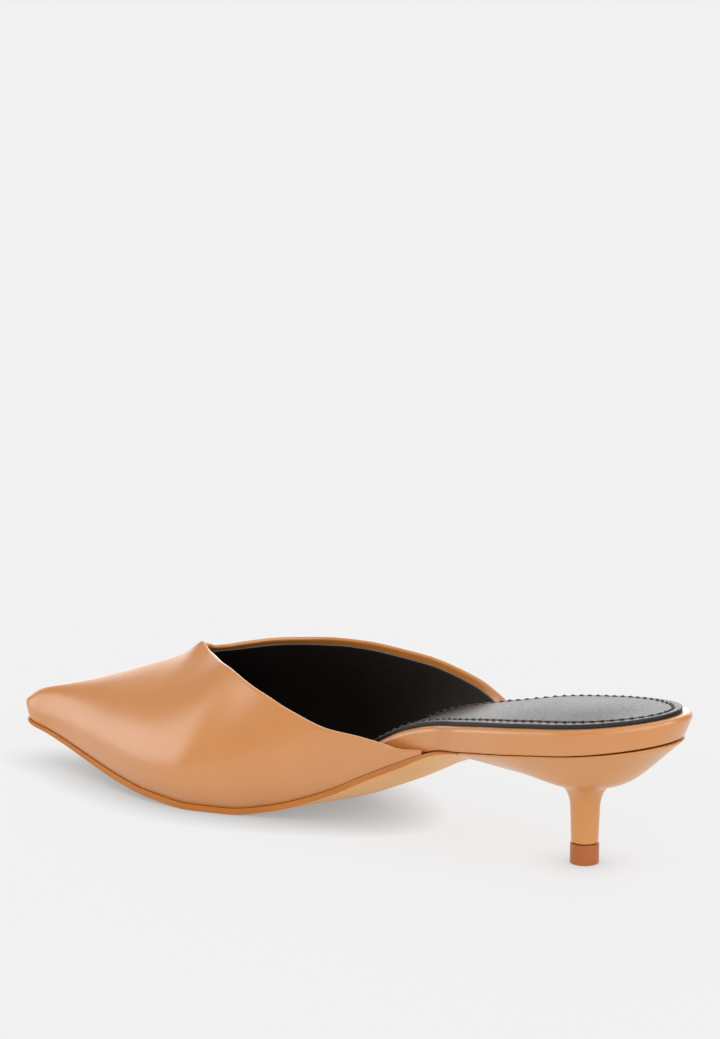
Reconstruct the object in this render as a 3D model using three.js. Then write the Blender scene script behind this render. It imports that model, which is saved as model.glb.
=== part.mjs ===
// A kitten heel mule for the right foot: pointed closed toe, open back, slim low heel.
// Millimetres. +X points to the toe, +Y to the inner side of the foot, +Z up.
// The origin lies on the floor, at the middle of the heel tip.
import * as THREE from "three";
import { mergeVertices } from "three/addons/utils/BufferGeometryUtils.js";

// Driving sizes of the whole shoe
const SHOE_LENGTH = 259.8; // back of the footbed to the toe tip
const HEEL_SETBACK = 38.8; // back of the footbed to the middle of the heel tip
const SEAT_WIDTH = 48;
const WAIST_WIDTH = 34;
const BALL_WIDTH = 68;
const SEAT_HEIGHT = 47.8; // floor to the footbed's underside, at the back
const TOE_SPRING = 12.4; // lift of the toe tip above the ball
const TOE_SWING = 12; // how far the toe tip lies to the inner side
const GAP = 0.3; // clearance wherever two pieces meet

// Upper
const WALL = 1.8;
const VAMP_HEIGHT = 47; // feather line to the point of the V
const NOSE_HEIGHT = 10; // depth of the upper at the toe tip
const NOSE_BULGE = 1.8; // how far the nose stands forward of the feather line
const NOSE_ROUND = 3.8; // how far the top of the nose rounds back
const WALL_LEAN = 6; // how far the sides swell out past the feather line
const PEAK_HEIGHT = 2.4; // how far the point of the V is drawn up above the ridge
const PEAK_REACH = 5; // how far along the ridge that point fades
const PEAK_POWER = 13; // high for a point that fades quickly down the sides

// Outsole
const SOLE_EDGE = 2.2;
const SOLE_CROWN = 6.4; // extra depth of the waist's rounded underside
const SOLE_PROUD = 0.5; // how far the sole stands out past the upper

// Footbed and sock
const FOOTBED = 8.9; // thickness of the wrapped board in the seat and waist
const FOREFOOT_BOARD = 3.5; // thickness of the same board inside the upper
const FOOTBED_EDGE = 2; // how far its rounded top edge drops
const EDGE_START = 0.84; // share of its half width where that rounding starts
const SEAT_UNDERCUT = 3; // how far its back leans in, down to the heel
const SOCK = 1.2;
const SOCK_INSET = 1.6; // bare rim of the footbed round the sock
const SOCK_SETBACK = 3.8; // bare rim behind it
const SOCK_END = 26; // end of the sock behind the toe tip
const HEEL_PAD = 2.4; // swell of the padded seat
const PAD_POWER = 1.5; // above 1 for a pad that is flat near its edges

// Heel and heel tip
const BREAST = 77; // back of the footbed to the corners of the heel's front face
const BREAST_BOW = 2.5; // how far that face bows forward
const BOW_REACH = 0.12; // share of the length over which the bow dies out ahead of it
const NECK_HEIGHT = 28.2; // floor to the underside of the cup, beside the stem
const FILLET_REACH = 6.5; // round between the stem and the cup
const FILLET_DROP = 9.5;
const STEM_TOP = 9.9; // diameter under the fillet
const STEM_BOTTOM = 9.1;
const TIP_WIDTH = 9.7;
const TIP_HEIGHT = 7;
const TIP_EDGE = 0.4;

// Lengths over which the outlines close
const SEAT_ROUND = 38.5;
const TOE_ROUND = 6;
const SOCK_ROUND = 12;

// Fineness of the surfaces
const STEP = 6.5; // along the shoe
const UPPER_ROWS = 24;
const UPPER_COLUMNS = 15; // from the feather line to the ridge
const CUP_RINGS = 9;
const FILLET_RINGS = 4;
const TIP_SIDES = 32;

const BACK = -HEEL_SETBACK;
const TOE = BACK + SHOE_LENGTH;

// Half widths to each side of the centre line, as shares of half the width named in the row
const OUTLINE = [
  { along: 0.0, inner: 1.0, outer: 1.0, width: SEAT_WIDTH },
  { along: 0.12, inner: 1.0, outer: 1.0, width: SEAT_WIDTH },
  { along: 0.2, inner: 0.995, outer: 0.99, width: SEAT_WIDTH },
  { along: 0.297, inner: 0.82, outer: 0.86, width: SEAT_WIDTH },
  { along: 0.397, inner: 0.92, outer: 1.1, width: WAIST_WIDTH },
  { along: 0.498, inner: 1.02, outer: 1.3, width: WAIST_WIDTH },
  { along: 0.578, inner: 0.64, outer: 0.87, width: BALL_WIDTH },
  { along: 0.639, inner: 0.755, outer: 1.05, width: BALL_WIDTH },
  { along: 0.699, inner: 0.84, outer: 1.12, width: BALL_WIDTH },
  { along: 0.759, inner: 0.797, outer: 1.036, width: BALL_WIDTH },
  { along: 0.79, inner: 0.728, outer: 0.938, width: BALL_WIDTH },
  { along: 0.821, inner: 0.635, outer: 0.82, width: BALL_WIDTH },
  { along: 0.881, inner: 0.425, outer: 0.56, width: BALL_WIDTH },
  { along: 0.93, inner: 0.255, outer: 0.34, width: BALL_WIDTH },
  { along: 0.97, inner: 0.145, outer: 0.19, width: BALL_WIDTH },
  { along: 1.0, inner: 0.105, outer: 0.12, width: BALL_WIDTH },
];
const WING_RAMP = 0.06; // share of the length over which the footbed draws in behind a wing
const SWING_START = 0.45; // share of the length where the centre line starts to swing

// Rise of the feather line above the outsole's edge at the ball, as shares of the seat's
// rise and of the toe spring
const BOARD = [
  { along: 0.0, seat: 1.0, toe: 0 },
  { along: 0.095, seat: 0.908, toe: 0 },
  { along: 0.195, seat: 0.824, toe: 0 },
  { along: 0.297, seat: 0.724, toe: 0 },
  { along: 0.337, seat: 0.678, toe: 0 },
  { along: 0.363, seat: 0.627, toe: 0 },
  { along: 0.397, seat: 0.537, toe: 0 },
  { along: 0.448, seat: 0.393, toe: 0 },
  { along: 0.498, seat: 0.239, toe: 0 },
  { along: 0.539, seat: 0.136, toe: 0 },
  { along: 0.578, seat: 0.061, toe: 0 },
  { along: 0.639, seat: 0, toe: 0 },
  { along: 0.69, seat: 0, toe: 0 },
  { along: 0.74, seat: 0, toe: 0.095 },
  { along: 0.821, seat: 0, toe: 0.325 },
  { along: 0.9, seat: 0, toe: 0.6 },
  { along: 1.0, seat: 0, toe: 1.0 },
];

// Outsole's edge and crown, and how far the footbed has grown from its thickness inside the
// upper to that of the seat, as shares. It swells a little past the seat's behind the wings.
const SOLE = [
  { along: 0.0, edge: 0.2, crown: 0.73, board: 1 },
  { along: 0.22, edge: 0.2, crown: 0.73, board: 1 },
  { along: 0.297, edge: 0.2, crown: 0.73, board: 0.94 },
  { along: 0.337, edge: 0.38, crown: 0.91, board: 0.89 },
  { along: 0.374, edge: 0.8, crown: 1.0, board: 1.06 },
  { along: 0.407, edge: 1, crown: 0.98, board: 1.22 },
  { along: 0.458, edge: 1, crown: 0.88, board: 0.98 },
  { along: 0.503, edge: 1, crown: 0.58, board: 0.55 },
  { along: 0.548, edge: 1, crown: 0.29, board: 0.2 },
  { along: 0.598, edge: 1, crown: 0, board: 0 },
  { along: 0.8, edge: 1, crown: 0, board: 0 },
  { along: 0.92, edge: 0.8, crown: 0, board: 0 },
  { along: 1.0, edge: 0.55, crown: 0, board: 0 },
];
const PROUD_FROM = 0.42; // shares of the length where the outsole comes out from under the upper
const PROUD_TO = 0.55;

// Swell of the sock's pad along the seat
const PAD = [
  { along: 0.0, swell: 0 },
  { along: 0.02, swell: 0 },
  { along: 0.075, swell: 0.5 },
  { along: 0.13, swell: 1 },
  { along: 0.2, swell: 1 },
  { along: 0.28, swell: 0.5 },
  { along: 0.36, swell: 0 },
  { along: 1.0, swell: 0 },
];

// Height of the upper's ridge above the feather line, behind the V as if it went on, as
// shares of the vamp's and the nose's height, with the sharpness of its crest and the swell
// of each side
const RIDGE = [
  { along: 0.29, vamp: 1.46, nose: 0, crest: 0, inner: 0.5, outer: 0.6 },
  { along: 0.407, vamp: 1.48, nose: 0, crest: 0.1, inner: 0.75, outer: 1.1 },
  { along: 0.498, vamp: 1.5, nose: 0, crest: 0.28, inner: 0.95, outer: 1.4 },
  { along: 0.588, vamp: 1.43, nose: 0, crest: 0.52, inner: 1.05, outer: 1.1 },
  { along: 0.66, vamp: 1.24, nose: 0, crest: 0.78, inner: 0.85, outer: 0.75 },
  { along: 0.713, vamp: 1.045, nose: 0.03, crest: 0.92, inner: 0.65, outer: 0.55 },
  { along: 0.745, vamp: 0.924, nose: 0.08, crest: 0.94, inner: 0.52, outer: 0.5 },
  { along: 0.765, vamp: 0.85, nose: 0.13, crest: 0.88, inner: 0.46, outer: 0.46 },
  { along: 0.79, vamp: 0.76, nose: 0.18, crest: 0.78, inner: 0.4, outer: 0.4 },
  { along: 0.842, vamp: 0.582, nose: 0.3, crest: 0.53, inner: 0.3, outer: 0.3 },
  { along: 0.9, vamp: 0.364, nose: 0.5, crest: 0.28, inner: 0.22, outer: 0.22 },
  { along: 0.95, vamp: 0.168, nose: 0.76, crest: 0.11, inner: 0.15, outer: 0.15 },
  { along: 0.98, vamp: 0.06, nose: 0.88, crest: 0.04, inner: 0.12, outer: 0.12 },
  { along: 1.0, vamp: 0, nose: 0.82, crest: 0, inner: 0.1, outer: 0.1 },
];
const NEAR_FEATHER = 1.7; // power that crowds the upper's columns towards the feather line
const SIDE_FULLNESS = 0.75; // power of the section's rise, below 1 for fuller sides
const CREST = 1; // extra power of the section's width where the crest is sharpest
const WIDEST_AT = 0.26; // share of the section's height where its sides stand out furthest

// Height of the topline above the feather line, without the drawn-up point, as shares of
// the vamp's height. Each side runs from its wing tip to the point of the V.
const V_POINT = 0.745;
const INNER_TOPLINE = [
  { along: 0.352, rise: 0 },
  { along: 0.368, rise: 0.028 },
  { along: 0.391, rise: 0.077 },
  { along: 0.412, rise: 0.16 },
  { along: 0.455, rise: 0.32 },
  { along: 0.501, rise: 0.481 },
  { along: 0.545, rise: 0.66 },
  { along: 0.591, rise: 0.823 },
  { along: 0.635, rise: 0.93 },
  { along: 0.672, rise: 0.973 },
  { along: 0.705, rise: 0.98 },
  { along: 0.725, rise: 0.967 },
  { along: V_POINT, rise: 0.945 },
];
const OUTER_TOPLINE = [
  { along: 0.292, rise: 0 },
  { along: 0.344, rise: 0.225 },
  { along: 0.375, rise: 0.373 },
  { along: 0.407, rise: 0.512 },
  { along: 0.457, rise: 0.703 },
  { along: 0.515, rise: 0.895 },
  { along: 0.55, rise: 0.981 },
  { along: 0.584, rise: 1.033 },
  { along: 0.627, rise: 1.067 },
  { along: 0.668, rise: 1.058 },
  { along: 0.695, rise: 1.036 },
  { along: 0.72, rise: 0.99 },
  { along: 0.737, rise: 0.942 },
  { along: V_POINT, rise: 0.945 },
];

// Heel cup, from the fillet out to the rim: shares of the way out and of the way up
const CUP = [
  { along: 0.0, up: 0 },
  { along: 0.1, up: 0.04 },
  { along: 0.25, up: 0.14 },
  { along: 0.5, up: 0.4 },
  { along: 0.75, up: 0.7 },
  { along: 1.0, up: 1 },
];

// A smooth curve through one column of a table, with no swing past its rows
function curve(rows, column) {
  const x = rows.map((row) => row.along);
  const y = rows.map((row) => row[column]);
  const slope = x.slice(1).map((next, i) => (y[i + 1] - y[i]) / (next - x[i]));
  const tangent = y.map((_, i) => {
    if (i === 0) return slope[0];
    if (i === slope.length) return slope[i - 1];
    if (slope[i - 1] * slope[i] <= 0) return 0;
    return 2 / (1 / slope[i - 1] + 1 / slope[i]);
  });
  return (at) => {
    const t = THREE.MathUtils.clamp(at, x[0], x[x.length - 1]);
    const i = Math.min(x.findLastIndex((value) => value <= t), slope.length - 1);
    const run = x[i + 1] - x[i];
    const s = (t - x[i]) / run;
    const level = y[i] * (1 + 2 * s) * (1 - s) ** 2 + y[i + 1] * s ** 2 * (3 - 2 * s);
    return level + run * s * (1 - s) * (tangent[i] * (1 - s) - tangent[i + 1] * s);
  };
}

const share = (x) => (x - BACK) / SHOE_LENGTH;
const place = (along) => BACK + along * SHOE_LENGTH;
const fade = THREE.MathUtils.smoothstep;

const halfWidths = OUTLINE.map((row) => ({
  along: row.along,
  inner: (row.inner * row.width) / 2,
  outer: (row.outer * row.width) / 2,
}));
const innerWidth = curve(halfWidths, "inner");
const outerWidth = curve(halfWidths, "outer");
const widthAt = (x, side) => (side > 0 ? innerWidth(share(x)) : outerWidth(share(x)));

// Height of the feather line, where the upper and the footbed meet the sole and the heel
const seatRise = curve(BOARD, "seat");
const toeRise = curve(BOARD, "toe");

function boardLine(x) {
  const rise = (SEAT_HEIGHT - SOLE_EDGE) * seatRise(share(x));
  return SOLE_EDGE + rise + TOE_SPRING * toeRise(share(x));
}

const featherHeight = (x) => boardLine(x) + GAP;

// Middle of the outline, which swings to the inner side towards the toe
function centreLine(x) {
  const swing = Math.max(0, (share(x) - SWING_START) / (1 - SWING_START));
  return TOE_SWING * swing ** 2;
}

// Share of the full width left near a closed end, which closes as an ellipse
function closing(distance, length) {
  if (distance >= length) return 1;
  return Math.sqrt(Math.max(0, 1 - (1 - distance / length) ** 2));
}

// Y of an outline drawn in from the feather line: side is 1 for inner, -1 for outer
function outline({
  inset = () => 0,
  back = BACK,
  seatRound = SEAT_ROUND,
  front,
  frontRound = TOE_ROUND,
}) {
  return (x, side) => {
    const ends = closing(x - back, seatRound) * closing(front - x, frontRound);
    return centreLine(x) + side * (widthAt(x, side) - inset(x, side)) * ends;
  };
}

// Distances from a closed end, closer together at the end itself
function endSteps(length) {
  const count = Math.max(4, Math.ceil((1.6 * length) / STEP));
  return Array.from({ length: count }, (_, i) => length * (1 - Math.cos((i / count) * (Math.PI / 2))));
}

// Places along the shoe between two ends, each closed over a length or cut square
function stations(from, to, fromRound, toRound) {
  const first = from + fromRound;
  const last = to - toRound;
  const count = Math.ceil((last - first) / STEP);
  const middle = Array.from({ length: count + 1 }, (_, i) => first + ((last - first) * i) / count);
  const start = fromRound ? endSteps(fromRound).map((step) => from + step) : [];
  const finish = toRound ? endSteps(toRound).map((step) => to - step).reverse() : [];
  return [...start, ...middle, ...finish];
}

// Triangles between neighbouring rows of points
function between(rows, closed) {
  const faces = [];
  for (let i = 0; i + 1 < rows.length; i++) {
    const count = rows[i].length;
    for (let k = 0; k < (closed ? count : count - 1); k++) {
      const next = (k + 1) % count;
      faces.push([rows[i][k], rows[i][next], rows[i + 1][next]]);
      faces.push([rows[i][k], rows[i + 1][next], rows[i + 1][k]]);
    }
  }
  return faces;
}

// Triangles that close a row of points round their middle
function fan(row) {
  const middle = row.reduce((sum, p) => sum.add(p), new THREE.Vector3()).divideScalar(row.length);
  return row.map((p, k) => [p, middle, row[(k + 1) % row.length]]);
}

// One surface from loose triangles: points that meet are merged, empty triangles dropped
function weld(faces) {
  const merged = mergeVertices(new THREE.BufferGeometry().setFromPoints(faces.flat()), 1e-4);
  const index = [];
  for (let i = 0; i < merged.index.count; i += 3) {
    const [a, b, c] = [0, 1, 2].map((corner) => merged.index.getX(i + corner));
    if (a !== b && b !== c && c !== a) index.push(a, b, c);
  }
  return merged.setIndex(index);
}

function faceted(geometry) {
  const flat = geometry.toNonIndexed();
  flat.computeVertexNormals();
  return flat;
}

// Shares across a board, from its inner to its outer edge
const ACROSS = [1, 0.96, 0.86, 0.6, 0.3, 0, -0.3, -0.6, -0.86, -0.96, -1];

// A board along the shoe. `edge` gives its sides, `top` and `bottom` its heights, `lower`
// the place of its underside and `bow` how far a row bows forward.
function slab({ places, edge, top, bottom, lower = (x) => x, bow = () => 0, cutBack = false }) {
  const rows = places.map((x) => {
    const reach = (q) => centreLine(x) + (edge(x, q < 0 ? -1 : 1) - centreLine(x)) * Math.abs(q);
    const point = (q, at, height) => {
      const bowed = at + bow(x) * (1 - q ** 2);
      return new THREE.Vector3(bowed, reach(q), height(bowed, q));
    };
    const above = ACROSS.map((q) => point(q, x, top));
    const below = ACROSS.map((q) => point(q, lower(x), bottom));
    return [...above, ...below.reverse()];
  });
  const faces = between(rows, true);
  const [above, below] = [rows[0].slice(0, ACROSS.length), rows[0].slice(ACROSS.length).reverse()];
  if (cutBack) faces.push(...between([below, above], false));
  return faceted(weld(faces));
}

// Upper: one shell over the last, open at the back and underneath
const ridgeVamp = curve(RIDGE, "vamp");
const ridgeNose = curve(RIDGE, "nose");
const ridgeCrest = curve(RIDGE, "crest");
const innerLean = curve(RIDGE, "inner");
const outerLean = curve(RIDGE, "outer");
const innerRise = curve(INNER_TOPLINE, "rise");
const outerRise = curve(OUTER_TOPLINE, "rise");

const ridgeHeight = (x) => VAMP_HEIGHT * ridgeVamp(share(x)) + NOSE_HEIGHT * ridgeNose(share(x));
const riseAt = (turn) => Math.sin(turn) ** SIDE_FULLNESS;

// Height of the skin above the feather line at a turn round its section
function skinHeight(x, turn) {
  const peak = PEAK_HEIGHT * Math.exp(-(((x - place(V_POINT)) / PEAK_REACH) ** 2));
  return ridgeHeight(x) * riseAt(turn) + peak * Math.sin(turn) ** PEAK_POWER;
}

// Forward end of the upper at a turn round its section: 0 at the feather line, a right
// angle at the ridge
function noseTip(turn) {
  return TOE + NOSE_BULGE * Math.sin(2 * turn) - NOSE_ROUND * Math.sin(turn) ** 4;
}

function lastPoint(x, turn, side) {
  const rise = riseAt(turn);
  const belly = (rise / WIDEST_AT) * Math.exp(1 - rise / WIDEST_AT);
  const lean = WALL_LEAN * (side > 0 ? innerLean(share(x)) : outerLean(share(x)));
  const narrowed = Math.max(0, Math.cos(turn)) ** (1 + CREST * ridgeCrest(share(x)));
  const reach = (widthAt(x, side) + lean * belly) * narrowed * closing(noseTip(turn) - x, TOE_ROUND);
  return new THREE.Vector3(x, centreLine(x) + side * reach, featherHeight(x) + skinHeight(x, turn));
}

// Place where the topline crosses a turn of the section, found by halving
function toplineAt(turn, side) {
  const rise = side > 0 ? innerRise : outerRise;
  let behind = place((side > 0 ? INNER_TOPLINE : OUTER_TOPLINE)[0].along);
  if (turn === 0) return behind;
  let ahead = place(V_POINT);
  for (let i = 0; i < 40; i++) {
    const x = (behind + ahead) / 2;
    if (ridgeHeight(x) * riseAt(turn) > VAMP_HEIGHT * rise(share(x))) behind = x;
    else ahead = x;
  }
  return (behind + ahead) / 2;
}

// The outer skin in columns, from the inner feather line over the ridge to the outer one
function upperSkin() {
  const turns = Array.from(
    { length: UPPER_COLUMNS + 1 },
    (_, k) => (Math.PI / 2) * (k / UPPER_COLUMNS) ** NEAR_FEATHER,
  );
  const column = (turn, side) => {
    const first = noseTip(turn) - TOE_ROUND;
    const last = toplineAt(turn, side);
    const nose = endSteps(TOE_ROUND).map((step) => noseTip(turn) - step);
    const rest = Array.from(
      { length: UPPER_ROWS + 1 },
      (_, i) => first + ((last - first) * i) / UPPER_ROWS,
    );
    return [...nose, ...rest].map((x) => lastPoint(x, turn, side));
  };
  const inner = turns.map((turn) => column(turn, 1));
  const outer = turns.slice(0, -1).map((turn) => column(turn, -1));
  return weld(between([...inner, ...outer.reverse()], false));
}

// A wall of even thickness inside a skin, closed along the skin's open edges
function thicken(skin, wall) {
  skin.computeVertexNormals();
  const { position, normal } = skin.attributes;
  const vector = (attribute, i) => new THREE.Vector3().fromBufferAttribute(attribute, i);
  const outside = Array.from({ length: position.count }, (_, i) => vector(position, i));
  const inside = outside.map((p, i) => {
    const moved = p.clone().addScaledVector(vector(normal, i), -wall);
    const onFeather = Math.abs(p.z - featherHeight(p.x)) < 1e-4;
    return onFeather ? moved.setZ(featherHeight(moved.x)) : moved;
  });
  const faces = [];
  const edges = new Map();
  for (let i = 0; i < skin.index.count; i += 3) {
    const [a, b, c] = [0, 1, 2].map((corner) => skin.index.getX(i + corner));
    faces.push([outside[a], outside[b], outside[c]], [inside[c], inside[b], inside[a]]);
    [[a, b], [b, c], [c, a]].forEach((edge) => edges.set(edge.join(), edge));
  }
  for (const [a, b] of edges.values()) {
    if (edges.has([b, a].join())) continue;
    faces.push([outside[b], outside[a], inside[a]], [outside[b], inside[a], inside[b]]);
  }
  return weld(faces);
}

// Outsole: a thin edge, rounded below at the waist, from the heel's front face to the toe
const soleEdge = curve(SOLE, "edge");
const soleCrown = curve(SOLE, "crown");
const footbedShare = curve(SOLE, "board");
const breastBow = (x) => BREAST_BOW * (1 - fade(Math.abs(share(x) - BREAST / SHOE_LENGTH), 0, BOW_REACH));

function underside(x, across) {
  const crown = SOLE_CROWN * soleCrown(share(x)) * (1 - across ** 2);
  return boardLine(x) - SOLE_EDGE * soleEdge(share(x)) - crown;
}

function outsole() {
  const front = TOE + SOLE_PROUD;
  const proud = (x) => -SOLE_PROUD * fade(share(x), PROUD_FROM, PROUD_TO);
  return slab({
    places: stations(BACK + BREAST + GAP, front, 0, TOE_ROUND),
    edge: outline({ inset: proud, front }),
    top: boardLine,
    bottom: underside,
    bow: breastBow,
    cutBack: true,
  });
}

// Footbed: a wrapped board, as wide as the seat at the back and inside the upper's wall in front
function wingInset(x, side) {
  const wing = (side > 0 ? INNER_TOPLINE : OUTER_TOPLINE)[0].along;
  return (WALL + GAP) * fade(share(x), wing - WING_RAMP, wing - GAP / SHOE_LENGTH);
}
const boardThickness = (x) => FOREFOOT_BOARD + (FOOTBED - FOREFOOT_BOARD) * footbedShare(share(x));
const footbedTop = (x) => featherHeight(x) + boardThickness(x);

// The seat's underside ends ahead of its top
const seatPlace = (x) => Math.max(x, x * (1 - SEAT_UNDERCUT / HEEL_SETBACK));

function footbed() {
  const front = TOE - WALL - GAP;
  const edgeDrop = (across) => FOOTBED_EDGE * fade(Math.abs(across), EDGE_START, 1);
  return slab({
    places: stations(BACK, front, SEAT_ROUND, TOE_ROUND),
    edge: outline({ inset: wingInset, front }),
    top: (x, across) => footbedTop(x) - edgeDrop(across),
    bottom: featherHeight,
    lower: seatPlace,
  });
}

// Sock: the leather lining on the footbed, padded over the seat
const padSwell = curve(PAD, "swell");

function sock() {
  const back = BACK + SOCK_SETBACK;
  const front = TOE - SOCK_END;
  const seatRound = SEAT_ROUND - SOCK_INSET;
  const inset = (x, side) => SOCK_INSET + wingInset(x, side);
  const bottom = (x) => footbedTop(x) + GAP;
  return slab({
    places: stations(back, front, seatRound, SOCK_ROUND),
    edge: outline({ inset, back, seatRound, front, frontRound: SOCK_ROUND }),
    top: (x, across) => bottom(x) + SOCK + HEEL_PAD * padSwell(share(x)) * (1 - across ** 2) ** PAD_POWER,
    bottom,
  });
}

// Heel: a cup under the seat that runs down into a slim stem
const cupUp = curve(CUP, "up");

function heel() {
  const edge = outline({ front: TOE });
  const top = stations(BACK, BACK + BREAST, SEAT_ROUND, 0).map((x) =>
    ACROSS.map((q) => {
      const at = seatPlace(x) + breastBow(x) * (1 - q ** 2);
      return new THREE.Vector3(at, edge(x, q < 0 ? -1 : 1) * Math.abs(q), boardLine(at));
    }),
  );
  const front = top[top.length - 1];
  const left = top.slice(1).reverse().map((row) => row[row.length - 1]);
  const rim = [...top.map((row) => row[0]), ...front.slice(1, -1), ...left];
  const across = [...top.map(() => 1), ...ACROSS.slice(1, -1), ...top.slice(1).map(() => 1)];
  const lower = rim.map((p, i) => new THREE.Vector3(p.x, p.y, underside(p.x, across[i])));

  const neck = STEM_TOP / 2 + FILLET_REACH;
  const ringOf = (radius, height) =>
    lower.map((p) => {
      const reach = Math.hypot(p.x, p.y);
      return new THREE.Vector3((p.x / reach) * radius(reach), (p.y / reach) * radius(reach), height(p));
    });
  const cup = Array.from({ length: CUP_RINGS }, (_, i) => {
    const out = 1 - (i + 1) / CUP_RINGS;
    const height = (p) => NECK_HEIGHT + (p.z - NECK_HEIGHT) * cupUp(out);
    return ringOf((reach) => neck + (reach - neck) * out, height);
  });
  const fillet = Array.from({ length: FILLET_RINGS }, (_, i) => {
    const turn = ((i + 1) / FILLET_RINGS) * (Math.PI / 2);
    const height = NECK_HEIGHT - FILLET_DROP * (1 - Math.cos(turn));
    return ringOf(() => neck - FILLET_REACH * Math.sin(turn), () => height);
  });
  const foot = ringOf(() => STEM_BOTTOM / 2, () => TIP_HEIGHT + GAP);
  const faces = [...between(top, false), ...between([rim, lower, ...cup, ...fillet, foot], true)];
  faces.push(...fan([...foot].reverse()));
  return faceted(weld(faces));
}

// Heel tip: the small top piece that the heel walks on
function heelTip() {
  const radius = TIP_WIDTH / 2;
  const profile = [
    [0, 0],
    [radius - TIP_EDGE, 0],
    [radius, TIP_EDGE],
    [radius, TIP_HEIGHT],
    [0, TIP_HEIGHT],
  ].map(([x, y]) => new THREE.Vector2(x, y));
  return new THREE.LatheGeometry(profile, TIP_SIDES).rotateX(Math.PI / 2);
}

const leather = { color: "#dca76e", roughness: 0.42, metalness: 0 };
const FINISHES = {
  upper: leather,
  outsole: { color: "#c88a48", roughness: 0.5, metalness: 0 },
  footbed: leather,
  sock: { color: "#2b1d1b", roughness: 0.45, metalness: 0 },
  heel: { color: "#d69f66", roughness: 0.35, metalness: 0 },
  heel_tip: { color: "#ab6535", roughness: 0.5, metalness: 0 },
};

function piece(name, geometry) {
  const mesh = new THREE.Mesh(geometry, new THREE.MeshStandardMaterial(FINISHES[name]));
  mesh.name = name;
  return mesh;
}

const mule = new THREE.Group();
mule.add(piece("upper", faceted(thicken(upperSkin(), WALL))));
mule.add(piece("outsole", outsole()));
mule.add(piece("footbed", footbed()));
mule.add(piece("sock", sock()));
mule.add(piece("heel", heel()));
mule.add(piece("heel_tip", heelTip()));

export default mule;
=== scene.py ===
import math

import bmesh
import bpy
import numpy as np
from mathutils import Matrix, Vector


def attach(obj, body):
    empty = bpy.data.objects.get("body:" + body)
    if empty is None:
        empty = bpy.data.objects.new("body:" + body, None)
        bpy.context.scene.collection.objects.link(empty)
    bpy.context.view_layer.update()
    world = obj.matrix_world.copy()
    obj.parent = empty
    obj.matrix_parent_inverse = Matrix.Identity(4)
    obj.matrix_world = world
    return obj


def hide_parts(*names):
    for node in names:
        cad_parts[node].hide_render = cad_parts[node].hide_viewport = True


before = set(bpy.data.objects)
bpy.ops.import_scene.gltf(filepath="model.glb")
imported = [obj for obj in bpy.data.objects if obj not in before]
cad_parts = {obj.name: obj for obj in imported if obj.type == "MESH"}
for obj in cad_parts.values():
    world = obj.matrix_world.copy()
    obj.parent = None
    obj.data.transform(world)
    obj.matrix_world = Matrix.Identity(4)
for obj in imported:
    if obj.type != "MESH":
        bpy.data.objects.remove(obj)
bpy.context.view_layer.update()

# Sizes of the shoe in millimetres, the same as the solids have
SHOE_LENGTH = 259.8
BACK = -38.8
TOE = BACK + SHOE_LENGTH
SEAT_HEIGHT = 47.8
TOE_SPRING = 12.4
TOE_SWING = 12
SWING_START = 0.45
GAP = 0.3
WALL = 1.8
VAMP_HEIGHT = 47
NOSE_HEIGHT = 10
NOSE_BULGE = 1.8
NOSE_ROUND = 3.8
WALL_LEAN = 6
PEAK_HEIGHT = 2.4
PEAK_REACH = 5
PEAK_POWER = 13
SIDE_FULLNESS = 0.75
CREST = 1
WIDEST_AT = 0.26
NEAR_FEATHER = 1.7
SOLE_EDGE = 2.2
SOLE_CROWN = 6.4
SOLE_PROUD = 0.5
PROUD_FROM = 0.42
PROUD_TO = 0.55
FOOTBED = 8.9
FOREFOOT_BOARD = 3.5
FOOTBED_EDGE = 2
SEAT_UNDERCUT = 3
WING_RAMP = 0.06
SOCK = 1.2
SOCK_INSET = 1.6
SOCK_SETBACK = 3.8
SOCK_END = 26
HEEL_PAD = 2.4
PAD_POWER = 1.5
BREAST = 77
BREAST_BOW = 2.5
BOW_REACH = 0.12
NECK_HEIGHT = 28.2
FILLET_REACH = 6.5
FILLET_DROP = 9.5
STEM_TOP = 9.9
STEM_BOTTOM = 9.1
TIP_WIDTH = 9.7
TIP_HEIGHT = 7
SEAT_ROUND = 38.5
TOE_ROUND = 6
SOCK_ROUND = 12
V_POINT = 0.745

# Tables of the shoe's form; the first column is the share of the length
OUTLINE = [  # half widths to the inner and outer side
    (0.0, 24, 24), (0.12, 24, 24), (0.2, 23.88, 23.76), (0.297, 19.68, 20.64),
    (0.397, 15.64, 18.7), (0.498, 17.34, 22.1), (0.578, 21.76, 29.58), (0.639, 25.67, 35.7),
    (0.699, 28.56, 38.08), (0.759, 27.098, 35.224), (0.79, 24.752, 31.892), (0.821, 21.59, 27.88),
    (0.881, 14.45, 19.04), (0.93, 8.67, 11.56), (0.97, 4.93, 6.46), (1.0, 3.57, 4.08),
]
BOARD = [  # shares of the seat's rise and of the toe spring
    (0.0, 1.0, 0), (0.095, 0.908, 0), (0.195, 0.824, 0), (0.297, 0.724, 0), (0.337, 0.678, 0),
    (0.363, 0.627, 0), (0.397, 0.537, 0), (0.448, 0.393, 0), (0.498, 0.239, 0), (0.539, 0.136, 0),
    (0.578, 0.061, 0), (0.639, 0, 0), (0.69, 0, 0), (0.74, 0, 0.095), (0.821, 0, 0.325),
    (0.9, 0, 0.6), (1.0, 0, 1.0),
]
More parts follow.
